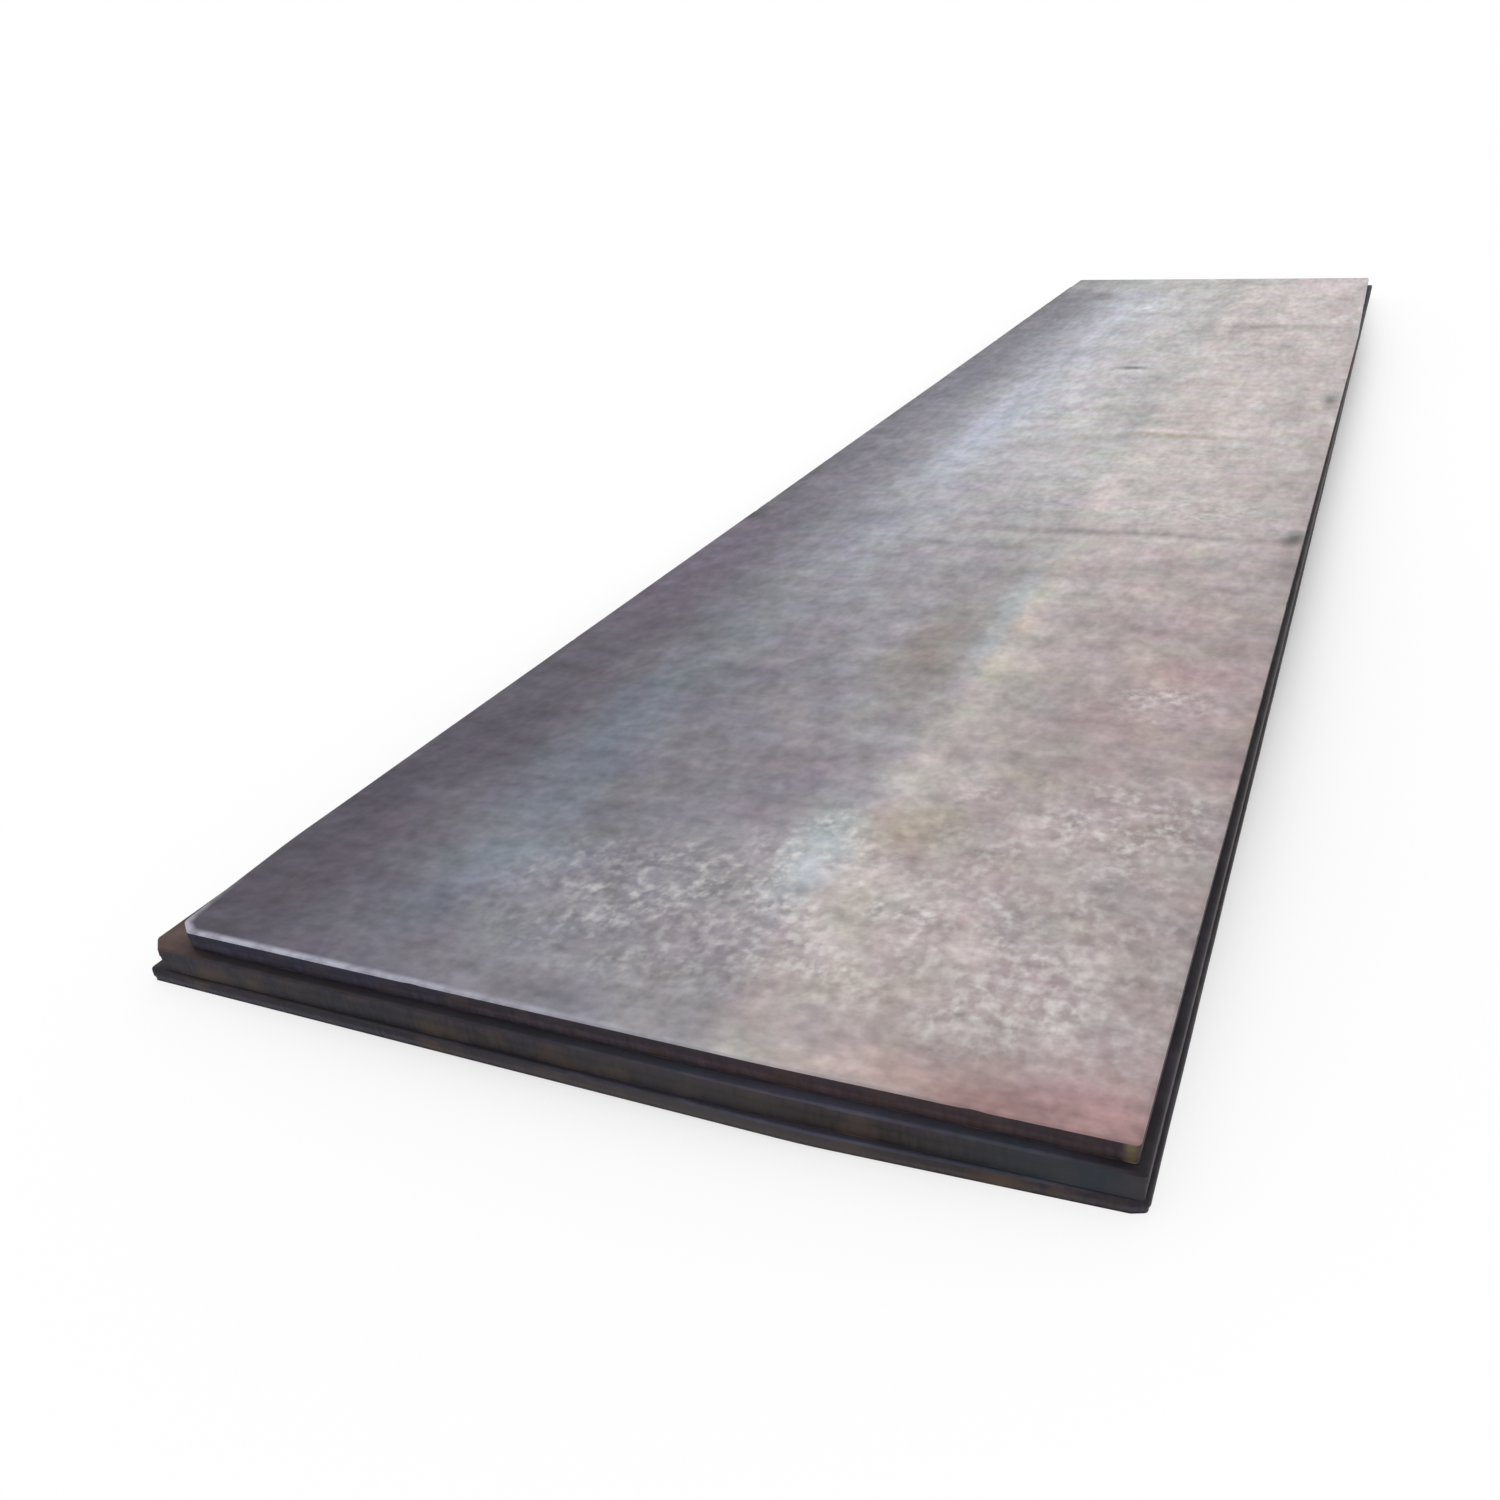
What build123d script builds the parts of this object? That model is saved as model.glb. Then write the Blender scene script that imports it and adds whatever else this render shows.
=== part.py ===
from build123d import *

import os
from math import atan2, degrees

# A pile of three hot rolled steel plates, sheared to size and laid flat one on another, with
# their edges a little out of line. X runs across the plates, Y along them and Z up. The origin
# is the middle of the bottom plate's underside, which rests on the ground.

# The plates, in millimetres
PLATE_LENGTH = 8000.0
TOP_WIDTH = 1800.0
TOP_THICKNESS = 40.0
MIDDLE_THICKNESS = 50.0
BOTTOM_THICKNESS = 30.0

# How each upper plate lies on the pile. At its near end it is so far in from the left edge,
# the right edge and the near end of the plate under it, and it is turned by so many degrees
# seen from above, counted from the bottom plate.
MIDDLE_LEFT_LEDGE = 6.0
MIDDLE_RIGHT_LEDGE = 4.0
MIDDLE_NEAR_LEDGE = 1.5
MIDDLE_TURN = -0.07
TOP_LEFT_LEDGE = 47.0
TOP_RIGHT_LEDGE = 14.0
TOP_NEAR_LEDGE = 19.0
TOP_TURN = -0.19

# Each lower plate is as wide as the plate on it and the ledges at its two sides
MIDDLE_WIDTH = TOP_LEFT_LEDGE + TOP_WIDTH + TOP_RIGHT_LEDGE
BOTTOM_WIDTH = MIDDLE_LEFT_LEDGE + MIDDLE_WIDTH + MIDDLE_RIGHT_LEDGE

# The near ends are cut in two strokes that meet in a blunt point: its distance from the plate's
# left edge, and how far it stands out past the corners
TOP_POINT_ACROSS = 1200.0
TOP_POINT_OUT = 6.0
MIDDLE_POINT_ACROSS = 1300.0
MIDDLE_POINT_OUT = 10.0
BOTTOM_POINT_ACROSS = 1350.0
BOTTOM_POINT_OUT = 20.0

# The two upper plates have their near left corner cropped, and so has the bottom plate its near
# right one. The top plate's left edge runs in a little towards its near end, and its right edge
# towards its far end.
TOP_CROP_ACROSS = 34.0
TOP_CROP_ALONG = 28.0
MIDDLE_CROP_ACROSS = 30.0
MIDDLE_CROP_ALONG = 30.0
BOTTOM_CROP_ACROSS = 26.0
BOTTOM_CROP_ALONG = 10.0
NEAR_RUN_IN_LENGTH = 340.0
NEAR_RUN_IN_DEPTH = 17.0
FAR_RUN_IN_LENGTH = 1900.0
FAR_RUN_IN_DEPTH = 28.0

# The sheared edge, from the top down: a rolled over arris, an upright burnished land, a torn
# face that leans in under the land, and a broken lower arris
ROLLOVER_RADIUS = 6.0
LAND_HEIGHT = 12.0
TEAR_RECESS = 2.5
LOWER_ARRIS = 1.0
ARRIS_LEAN = 45.0

# Corner roundings in plan: square corners, corners left by a crop, and the blunt bends
CORNER_RADIUS = 10.0
CROP_RADIUS = 12.0
BEND_RADIUS = 1500.0


def square_corner(across, along):
    """A square corner of the outline, as a point with the radius of its bend."""
    return (across, along, CORNER_RADIUS)


def cropped_corner(start, end):
    """A corner cut off at a slant, from one point of the outline to the next."""
    return [(*start, CROP_RADIUS), (*end, CROP_RADIUS)]


def blunt_bend(across, along):
    """A very blunt bend of the outline, where two shear strokes meet."""
    return (across, along, BEND_RADIUS)


def sheared_plate(outline, thickness, near_left, turn, underside):
    """One plate with a sheared edge all round, placed by its near left corner.

    The outline is in plan from that corner, as points that each have the radius of their bend.
    """
    tear_foot = underside + LOWER_ARRIS
    land_foot = underside + thickness - ROLLOVER_RADIUS - LAND_HEIGHT
    tear_height = land_foot - tear_foot
    with BuildPart() as plate:
        with BuildSketch(Plane(Location((*near_left, land_foot), (0, 0, turn)))):
            with BuildLine():
                corners = [(x, y) for x, y, radius in outline]
                FilletPolyline(*corners, radius=[radius for x, y, radius in outline], close=True)
            make_face()
        extrude(amount=LAND_HEIGHT + ROLLOVER_RADIUS)
        tear_lean = degrees(atan2(TEAR_RECESS, tear_height))
        extrude(plate.faces().sort_by(Axis.Z)[0], amount=tear_height, taper=tear_lean)
        extrude(plate.faces().sort_by(Axis.Z)[0], amount=LOWER_ARRIS, taper=ARRIS_LEAN)
        fillet(plate.edges().group_by(Axis.Z)[-1], ROLLOVER_RADIUS)
    return plate


os.makedirs("parts", exist_ok=True)

# Bottom plate, on the ground, its middle over the origin
bottom_corner = Vector(-BOTTOM_WIDTH / 2, -PLATE_LENGTH / 2)
bottom_outline = [
    square_corner(0, 0),
    blunt_bend(BOTTOM_POINT_ACROSS, -BOTTOM_POINT_OUT),
    *cropped_corner((BOTTOM_WIDTH - BOTTOM_CROP_ACROSS, 0), (BOTTOM_WIDTH, BOTTOM_CROP_ALONG)),
    square_corner(BOTTOM_WIDTH, PLATE_LENGTH),
    square_corner(0, PLATE_LENGTH),
]
bottom_plate = sheared_plate(
    bottom_outline, BOTTOM_THICKNESS, (bottom_corner.X, bottom_corner.Y), 0, 0
)
bottom_plate.part.label = "bottom_plate"
export_step(bottom_plate.part, "parts/bottom_plate.step")

# Middle plate, lying on the bottom one
middle_corner = bottom_corner + Vector(MIDDLE_LEFT_LEDGE, MIDDLE_NEAR_LEDGE)
middle_outline = [
    *cropped_corner((0, MIDDLE_CROP_ALONG), (MIDDLE_CROP_ACROSS, 0)),
    blunt_bend(MIDDLE_POINT_ACROSS, -MIDDLE_POINT_OUT),
    square_corner(MIDDLE_WIDTH, 0),
    square_corner(MIDDLE_WIDTH, PLATE_LENGTH),
    square_corner(0, PLATE_LENGTH),
]
middle_plate = sheared_plate(
    middle_outline,
    MIDDLE_THICKNESS,
    (middle_corner.X, middle_corner.Y),
    MIDDLE_TURN,
    BOTTOM_THICKNESS,
)
middle_plate.part.label = "middle_plate"
export_step(middle_plate.part, "parts/middle_plate.step")

# Top plate, lying on the middle one
top_corner = middle_corner + Vector(TOP_LEFT_LEDGE, TOP_NEAR_LEDGE)
top_outline = [
    *cropped_corner((NEAR_RUN_IN_DEPTH, TOP_CROP_ALONG), (NEAR_RUN_IN_DEPTH + TOP_CROP_ACROSS, 0)),
    blunt_bend(TOP_POINT_ACROSS, -TOP_POINT_OUT),
    square_corner(TOP_WIDTH, 0),
    blunt_bend(TOP_WIDTH, PLATE_LENGTH - FAR_RUN_IN_LENGTH),
    square_corner(TOP_WIDTH - FAR_RUN_IN_DEPTH, PLATE_LENGTH),
    square_corner(0, PLATE_LENGTH),
    blunt_bend(0, NEAR_RUN_IN_LENGTH),
]
top_plate = sheared_plate(
    top_outline,
    TOP_THICKNESS,
    (top_corner.X, top_corner.Y),
    TOP_TURN,
    BOTTOM_THICKNESS + MIDDLE_THICKNESS,
)
top_plate.part.label = "top_plate"
export_step(top_plate.part, "parts/top_plate.step")
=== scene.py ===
import logging
from collections import defaultdict
from dataclasses import dataclass, field, replace
from enum import Enum
from math import atan2, ceil, cos, exp, pi, radians, sin
from typing import Any

import bmesh
import bpy
import numpy as np
from mathutils import Euler, Matrix, Vector, noise


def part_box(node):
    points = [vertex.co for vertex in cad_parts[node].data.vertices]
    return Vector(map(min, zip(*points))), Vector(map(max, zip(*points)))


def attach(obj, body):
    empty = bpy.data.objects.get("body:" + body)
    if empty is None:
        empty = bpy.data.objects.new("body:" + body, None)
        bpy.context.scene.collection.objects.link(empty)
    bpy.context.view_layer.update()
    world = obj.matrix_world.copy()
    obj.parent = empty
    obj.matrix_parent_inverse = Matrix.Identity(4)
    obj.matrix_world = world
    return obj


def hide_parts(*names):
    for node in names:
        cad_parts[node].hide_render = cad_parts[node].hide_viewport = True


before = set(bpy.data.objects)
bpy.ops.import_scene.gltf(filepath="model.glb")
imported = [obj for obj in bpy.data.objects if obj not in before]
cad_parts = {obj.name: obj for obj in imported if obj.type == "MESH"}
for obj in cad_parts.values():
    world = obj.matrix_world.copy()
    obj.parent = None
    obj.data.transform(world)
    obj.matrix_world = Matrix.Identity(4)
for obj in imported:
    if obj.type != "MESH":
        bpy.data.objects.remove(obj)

# A low pile of three hot rolled steel plates, dressed as they lie in a stockyard: a mill scaled
# upper face with whitish rubbed patches and a painted highlight on its near arris, dark sheared
# edges all round, and dark ledges where a lower plate stands out, one of them brown at its
# cropped corner. The dark of the edges and ledges holds painted shade as well. Lengths are in
# metres, in the frame of the imported model.

LOG = logging.getLogger("steel_plates")
MM = 0.001

# A list of colours by place: metres across a plate, or a share of its thickness
Bands = tuple[tuple[float, str], ...]
Socket = bpy.types.NodeSocket
Tree = bpy.types.NodeTree

# Blender's noise stays between about these two values, and its middle is here
NOISE_LOW = 0.3
NOISE_HIGH = 0.7
NOISE_MIDDLE = 0.5
# Patches are so deep that height has no part in them
PATCH_DEPTH = 1000.0

# Points of the solid that lie closer than this are one point
WELD = 0.01 * MM
# Points of a cut through the solid or through the face grid, likewise
SECTION_WELD = 0.2 * MM
GRID_WELD = 0.05 * MM
# A point where the outline turns less than this lies on a straight side
STRAIGHT = radians(0.01)
# Creases sharper than this stay sharp to the light
SHARP = radians(35)
# How far a point may lie from the underside and still belong to it
NEAR_FACE = 0.1 * MM
# How far in from the rollover a point may lie and still belong to the edge
EDGE_SLACK = 0.5 * MM
# Two layers of the noise that have nothing to do with one another
WAVE_LAYER = 7.0
RIPPLE_LAYER = 3.0


def hex_to_linear(code: str) -> tuple[float, float, float, float]:
    """Turns an sRGB hex colour into the linear colour that a shader takes.

    Args:
        code: Six hex digits, such as "8A8C92".

    Returns:
        Red, green, blue and an alpha of 1.
    """
    channels = [int(code[i : i + 2], 16) / 255 for i in (0, 2, 4)]
    linear = [c / 12.92 if c <= 0.04045 else ((c + 0.055) / 1.055) ** 2.4 for c in channels]
    return (*linear, 1.0)


def add_node(
    tree: Tree, kind: str, inputs: dict[Any, Any] | None = None, **settings: Any
) -> bpy.types.Node:
    """Adds one node with its settings and its links.

    Args:
        tree: The node tree that the node goes into.
        kind: The node's type name, such as "ShaderNodeMath".
        inputs: For each input, by name or number, a value or the output socket linked to it.
        settings: The node's own properties, such as operation="MULTIPLY".

    Returns:
        The new node.
    """
    node = tree.nodes.new(kind)
    for name, value in settings.items():
        setattr(node, name, value)
    for key, value in (inputs or {}).items():
        if isinstance(value, Socket):
            tree.links.new(value, node.inputs[key])
        else:
            node.inputs[key].default_value = value
    return node


def maths(tree: Tree, operation: str, *values: Socket | float, clamp: bool = False) -> Socket:
    """Adds a sum on numbers.

    Args:
        tree: The node tree.
        operation: The kind of sum, such as "MULTIPLY_ADD".
        values: Its numbers, in order.
        clamp: Whether the outcome is kept between 0 and 1.

    Returns:
        The outcome.
    """
    numbers = dict(enumerate(values))
    return add_node(
        tree, "ShaderNodeMath", numbers, operation=operation, use_clamp=clamp
    ).outputs[0]


def vector_maths(tree: Tree, operation: str, *values: Any) -> Socket:
    """Adds a sum on vectors or colours, channel by channel.

    Args:
        tree: The node tree.
        operation: The kind of sum, such as "MULTIPLY_ADD".
        values: Its vectors, in order.

    Returns:
        The outcome.
    """
    vectors = dict(enumerate(values))
    return add_node(tree, "ShaderNodeVectorMath", vectors, operation=operation).outputs[0]


def mixed(tree: Tree, share: Socket, under: Any, over: Any) -> Socket:
    """Lays a share of one colour over another, and returns the mix."""
    return add_node(
        tree, "ShaderNodeMix", {0: share, 6: under, 7: over}, data_type="RGBA"
    ).outputs[2]


def soft_noise(tree: Tree, place: Socket, size: float, detail: float) -> bpy.types.Node:
    """Adds a noise with spots of one size, and so many finer sizes in it."""
    return add_node(
        tree, "ShaderNodeTexNoise", {"Vector": place, "Scale": 1 / size, "Detail": detail}
    )


def add_shader(
    tree: Tree,
    colour: Socket,
    metallic: float,
    roughness: Socket | float,
    relief: Socket,
    bump: tuple[float, float],
) -> None:
    """Ends a finish with its bump, its shader and the output.

    Args:
        tree: The node tree.
        colour: The colour of the metal.
        metallic: How much of a metal's gloss it has.
        roughness: How rough it is.
        relief: The height that the bump is made from.
        bump: The bump's strength, and how high a relief of 1 stands.
    """
    strength, height = bump
    bumps = add_node(
        tree, "ShaderNodeBump", {"Strength": strength, "Distance": height, "Height": relief}
    )
    shader = add_node(
        tree,
        "ShaderNodeBsdfPrincipled",
        {
            "Base Color": colour,
            "Metallic": metallic,
            "Roughness": roughness,
            "Normal": bumps.outputs[0],
        },
    )
    add_node(tree, "ShaderNodeOutputMaterial", {0: shader.outputs[0]})


def swell(spot: Vector) -> float:
    """Gives a smooth noise from 0 to 1 at a spot."""
    return 0.5 + 0.5 * noise.noise(spot)


class Side(Enum):
    """The material places of a plate's mesh."""

    FACE = 0
    EDGE = 1


class Curve(Enum):
    """The ways from one level to another."""

    STRAIGHT = "LINEAR"
    SOFT = "SMOOTHSTEP"


@dataclass(frozen=True)
class ShearCut:
    """The section of a sheared edge, the same as the solid's."""

    rollover: float = 6 * MM
    land: float = 12 * MM
    recess: float = 2.5 * MM
    arris: float = 1 * MM
    row_height: float = 4 * MM
    arc_steps: int = 5

    def rows(self, thickness: float) -> list[tuple[float, float]]:
        """Lays out the rings of the edge, from the top face down.

        Args:
            thickness: The plate's thickness.

        Returns:
            For each ring, how far it lies in from the outline and how far under the top face.
        """
        turns = [pi / 2 * step / self.arc_steps for step in range(1, self.arc_steps + 1)]
        rows = [(self.rollover * (1 - sin(a)), self.rollover * (1 - cos(a))) for a in turns]
        land_steps = ceil(self.land / self.row_height)
        rows += [(0.0, self.rollover + self.land * k / land_steps) for k in range(1, land_steps + 1)]
        foot = self.rollover + self.land
        torn = thickness - self.arris - foot
        torn_steps = ceil(torn / self.row_height)
        rows += [
            (self.recess * k / torn_steps, foot + torn * k / torn_steps)
            for k in range(1, torn_steps + 1)
        ]
        return [*rows, (self.recess + self.arris, thickness)]


@dataclass(frozen=True)
class Wear:
    """How far the real plate departs from the true solid, always into it.

    The second half says how often each pattern swings in a metre, across, along and upright.
    """

    shear_wave: float = 1.0 * MM
    torn_relief: float = 2.0 * MM
    torn_run_in: float = 4 * MM
    land_relief: float = 0.25 * MM
    nick_depth: float = 3.0 * MM
    nick_height: float = 8 * MM
    nick_from: float = 0.42
    nick_until: float = 0.82
    face_wave: float = 1.3 * MM
    face_ripple: float = 0.35 * MM

    shear_waves: float = 5.0
    torn_grains: tuple[float, float, float] = (85.0, 85.0, 30.0)
    land_finer: float = 2.0
    nicks: float = 17.0
    face_waves: tuple[float, float] = (1.3, 0.9)
    face_ripples: tuple[float, float] = (2.0, 7.0)

    def at_edge(self, spot: Vector, depth: float, land_foot: float) -> float:
        """Works out how far the sheared edge lies in from the true solid.

        Args:
            spot: The place in the noise.
            depth: How far the point lies under the upper face.
            land_foot: How far the foot of the burnished land lies under it.

        Returns:
            The distance inwards.
        """
        torn = min(1, max(0, (depth - land_foot) / self.torn_run_in))
        grain = Vector([place * often for place, often in zip(spot, self.torn_grains)])
        inward = self.shear_wave * swell(spot * self.shear_waves)
        inward += torn * self.torn_relief * swell(grain)
        inward += (1 - torn) * self.land_relief * swell(grain * self.land_finer)
        nick = max(0, noise.noise(spot * self.nicks) - self.nick_from)
        nick /= self.nick_until - self.nick_from
        return inward + nick * self.nick_depth * exp(-((depth / self.nick_height) ** 2))

    def at_face(self, spot: Vector) -> float:
        """Works out how far the upper face lies under the true solid's.

        Args:
            spot: The place in the noise.

        Returns:
            The distance downwards.
        """
        wave, ripple = (
            Vector((spot.x * often[0], spot.y * often[1], layer))
            for often, layer in (
                (self.face_waves, WAVE_LAYER),
                (self.face_ripples, RIPPLE_LAYER),
            )
        )
        return self.face_wave * swell(wave) + self.face_ripple * swell(ripple)


@dataclass(frozen=True)
class Patch:
    """A soft oval patch on a plate, in metres from the plate's near left corner.

    Its share falls evenly from its strength in the middle to nothing at its rim.
    """

    across: float
    along: float
    half_width: float
    half_length: float
    strength: float = 1.0
    colour: str = ""


@dataclass(frozen=True)
class Mottle:
    """One size of uneven tone, as the size of a spot across and along the plate."""

    spot_across: float
    spot_along: float
    strength: float
    detail: float = 4.0


@dataclass(frozen=True)
class PlateSite:
    """Where a plate lies, for the patterns that are laid out from its near left corner."""

    corner: Vector
    turn: float
    width: float
    underside: float
    top: float

    def coordinates(self, tree: Tree) -> Socket:
        """Adds the position across, along and above the plate's near left corner.

        Args:
            tree: The node tree.

        Returns:
            The position.
        """
        return add_node(
            tree,
            "ShaderNodeMapping",
            {
                0: add_node(tree, "ShaderNodeTexCoord").outputs["Object"],
                1: (self.corner.x, self.corner.y, 0),
                2: (0, 0, self.turn),
            },
            vector_type="TEXTURE",
        ).outputs[0]


def new_tree(name: str) -> tuple[bpy.types.Material, Tree]:
    """Makes a material with an empty node tree.

    Args:
        name: The material's name.

    Returns:
        The material and its tree.
    """
    material = bpy.data.materials.new(name)
    material.use_nodes = True
    material.node_tree.nodes.clear()
    return material, material.node_tree


def patch_share(tree: Tree, place: Socket, patch: Patch) -> Socket:
    """Adds the share of one patch, from its strength in the middle to 0 at its rim.

    Args:
        tree: The node tree.
        place: The position on the plate.
        patch: The patch.

    Returns:
        The share, from 0 to 1.
    """
    local = add_node(
        tree,
        "ShaderNodeMapping",
        {
            0: place,
            1: (patch.across, patch.along, 0),
            3: (patch.half_width, patch.half_length, PATCH_DEPTH),
        },
        vector_type="TEXTURE",
    )
    ball = add_node(tree, "ShaderNodeTexGradient", {0: local.outputs[0]}, gradient_type="SPHERICAL")
    return maths(tree, "MULTIPLY", ball.outputs[1], patch.strength, clamp=True)


def patches_share(tree: Tree, place: Socket, patches: tuple[Patch, ...]) -> Socket:
    """Adds up the shares of several patches.

    Args:
        tree: The node tree.
        place: The position on the plate.
        patches: The patches.

    Returns:
        Their common share, from 0 to 1.
    """
    total: Socket | float = 0.0
    for patch in patches:
        total = maths(tree, "ADD", total, patch_share(tree, place, patch), clamp=True)
    return total


def tinted(tree: Tree, colour: Socket, place: Socket, tints: tuple[Patch, ...]) -> Socket:
    """Lays patches of other colours over a colour.

    Args:
        tree: The node tree.
        colour: The colour under the patches.
        place: The position on the plate.
        tints: The patches, each with its colour.

    Returns:
        The patched colour.
    """
    for tint in tints:
        colour = mixed(tree, patch_share(tree, place, tint), colour, hex_to_linear(tint.colour))
    return colour


def spots(
    tree: Tree,
    place: Socket,
    size: float,
    detail: float,
    between: tuple[float, float],
    levels: tuple[float, float] = (0.0, 1.0),
    curve: Curve = Curve.STRAIGHT,
) -> Socket:
    """Adds soft uneven spots: a noise, with the part between two of its values spread out.

    Args:
        tree: The node tree.
        place: The position that the spots are laid out on.
        size: The size of a spot.
        detail: How many finer sizes are in it.
        between: The values of the noise that become the two levels.
        levels: What they become.
        curve: The way between the levels.

    Returns:
        The level at each place.
    """
    grain = soft_noise(tree, place, size, detail)
    return add_node(
        tree,
        "ShaderNodeMapRange",
        {0: grain.outputs[0], 1: between[0], 2: between[1], 3: levels[0], 4: levels[1]},
        interpolation_type=curve.value,
    ).outputs[0]


def colour_ramp(tree: Tree, share: Socket, stops: Bands) -> Socket:
    """Adds a ramp of colours.

    Args:
        tree: The node tree.
        share: The place on the ramp, from 0 to 1.
        stops: For each stop, its place and its hex colour.

    Returns:
        The colour.
    """
    ramp = add_node(tree, "ShaderNodeValToRGB", {0: share})
    elements = ramp.color_ramp.elements
    # A ramp comes with two stops, and each further one starts in its middle
    for _ in stops[2:]:
        elements.new(0.5)
    for element, (where, code) in zip(elements, stops):
        element.position = where
        element.color = hex_to_linear(code)
    return ramp.outputs[0]


@dataclass(frozen=True)
class MillScale:
    """Hot rolled steel with its mill scale on: grey to mauve oxide in long rolling bands.

    The oxide has much of a metal's gloss and is rolled smooth, so it mirrors the sky dimly, and
    more so at a low angle. Rubbed places are whitish and matt, and thin rust turns it pink.
    """

    name: str
    # The colours across the plate at its near end and at its far end, with patches over them
    near_bands: Bands
    far_bands: Bands
    near_until: float = 0.9
    far_from: float = 4.6
    tints: tuple[Patch, ...] = ()
    roughness: float = 0.44
    metallic: float = 0.85

    # How far the bands and patches wander, and how long each swing is
    drift: float = 0.09
    wander_spot: float = 435 * MM
    # Temper colours: violet, olive and blue spots about a hand wide
    temper_spot: float = 154 * MM
    hue_swing: float = 0.24

    # Uneven tone in several sizes of spot. The spots are drawn out along the plate, ever longer
    # towards its far end, where short ones would be too fine to show.
    mottles: tuple[Mottle, ...] = (
        Mottle(0.50, 0.70, 0.22),
        Mottle(0.20, 0.14, 0.24, 6.0),
        Mottle(0.50, 0.05, 0.24, 6.0),
        Mottle(0.070, 0.048, 0.30),
        Mottle(0.026, 0.020, 0.24, 3.0),
    )
    draw_length: float = 1.8
    draw_start: float = 1.2

    # Broken scale, whitish as coarse frost: clusters of flakes, nudged out of line, and crumbs.
    # Real flakes are down to 2 mm wide, which is too fine to show, so they are drawn coarser.
    frost: str = "E4E1DF"
    frost_cover: float = 0.56
    frost_patches: tuple[Patch, ...] = ()
    cluster_spot: float = 111 * MM
    cluster_rim: tuple[float, float] = (0.38, 0.58)
    between_clusters: float = 0.35
    fleck_across: float = 20 * MM
    fleck_along: float = 26 * MM
    fleck_slope: tuple[float, float] = (0.05, 0.75)
    fleck_share: float = 0.8
    dull_fleck: float = 0.35
    dull_until: float = 0.2
    white_from: float = 0.8
    nudge_spot: float = 16.67 * MM
    nudge: float = 1.3
    crumb_size: float = 1.25
    crumb_rim: tuple[float, float] = (0.42, 0.74)

    # The arris, rubbed bright where slings and other plates have scraped it, and given a painted
    # highlight along its rounded edge: fully up to one distance from the outline, and not at all
    # beyond the next
    worn_and_highlit_arris: str = "AEADBC"
    wear_and_highlight_patches: tuple[Patch, ...] = ()
    wear_and_highlight_until: float = 5 * MM
    wear_and_highlight_fades: float = 17 * MM
    scrape_and_highlight_spot: float = 40 * MM
    scrape_and_highlight_full: float = 0.55
    scrape_and_highlight_least: float = 0.35

    # Dark places are the rougher ones, and so is frost, which stands up a little
    tone_range: tuple[float, float] = (0.6, 1.4)
    dark_rougher: float = 0.10
    light_smoother: float = 0.06
    frost_rougher: float = 0.35
    fleck_height: float = 1.5
    bump: float = 0.45
    bump_height: float = 0.5 * MM

    def banded(self, tree: Tree, drifted: Socket, width: float) -> Socket:
        """Colours the plate in bands along the rolling direction, changing towards the far end.

        Args:
            tree: The node tree.
            drifted: The position on the plate, wandering a little.
            width: The plate's width.

        Returns:
            The colour.
        """
        axes = add_node(tree, "ShaderNodeSeparateXYZ", {0: drifted})
        share = add_node(tree, "ShaderNodeMapRange", {0: axes.outputs[0], 1: 0.0, 2: width})
        near, far = (
            colour_ramp(tree, share.outputs[0], tuple((where / width, code) for where, code in bands))
            for bands in (self.near_bands, self.far_bands)
        )
        farness = add_node(
            tree,
            "ShaderNodeMapRange",
            {0: axes.outputs[1], 1: self.near_until, 2: self.far_from},
            interpolation_type="SMOOTHSTEP",
        )
        return mixed(tree, farness.outputs[0], near, far)

    def drawn_out(self, tree: Tree, place: Socket) -> Socket:
        """Draws the mottling out along the plate, more and more towards its far end.

        Args:
            tree: The node tree.
            place: The position on the plate.

        Returns:
            The drawn out position.
        """
        axes = add_node(tree, "ShaderNodeSeparateXYZ", {0: place})
        steps = maths(tree, "MULTIPLY_ADD", axes.outputs[1], 1 / self.draw_length, self.draw_start)
        turns = maths(tree, "LOGARITHM", steps, exp(1))
        along = maths(tree, "MULTIPLY", turns, self.draw_length)
        return add_node(tree, "ShaderNodeCombineXYZ", {0: axes.outputs[0], 1: along}).outputs[0]

    def tone(self, tree: Tree, place: Socket) -> Socket:
        """Multiplies every size of mottling into one uneven tone about 1.

        Args:
            tree: The node tree.
            place: The position on the plate.

        Returns:
            The tone.
        """
        drawn = self.drawn_out(tree, place)
        total: Socket | float = 1.0
        for mottle in self.mottles:
            stretched = add_node(
                tree,
                "ShaderNodeMapping",
                {0: drawn, 3: (1 / mottle.spot_across, 1 / mottle.spot_along, 0)},
            )
            levels = (1 - mottle.strength / 2, 1 + mottle.strength / 2)
            swing = spots(
                tree,
                stretched.outputs[0],
                size=1.0,
                detail=mottle.detail,
                between=(NOISE_LOW, NOISE_HIGH),
                levels=levels,
            )
            total = maths(tree, "MULTIPLY", total, swing)
        return total

    def frost_zones(self, tree: Tree, place: Socket, drifted: Socket) -> Socket:
        """Gathers the frost in clusters within its patches.

        Args:
            tree: The node tree.
            place: The position on the plate.
            drifted: The same, wandering a little.

        Returns:
            The share of frost that a place may have.
        """
        levels = (self.between_clusters, 1.0)
        clusters = spots(
            tree, place, self.cluster_spot, detail=3.0, between=self.cluster_rim, levels=levels
        )
        return maths(tree, "MULTIPLY", patches_share(tree, drifted, self.frost_patches), clusters)

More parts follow.
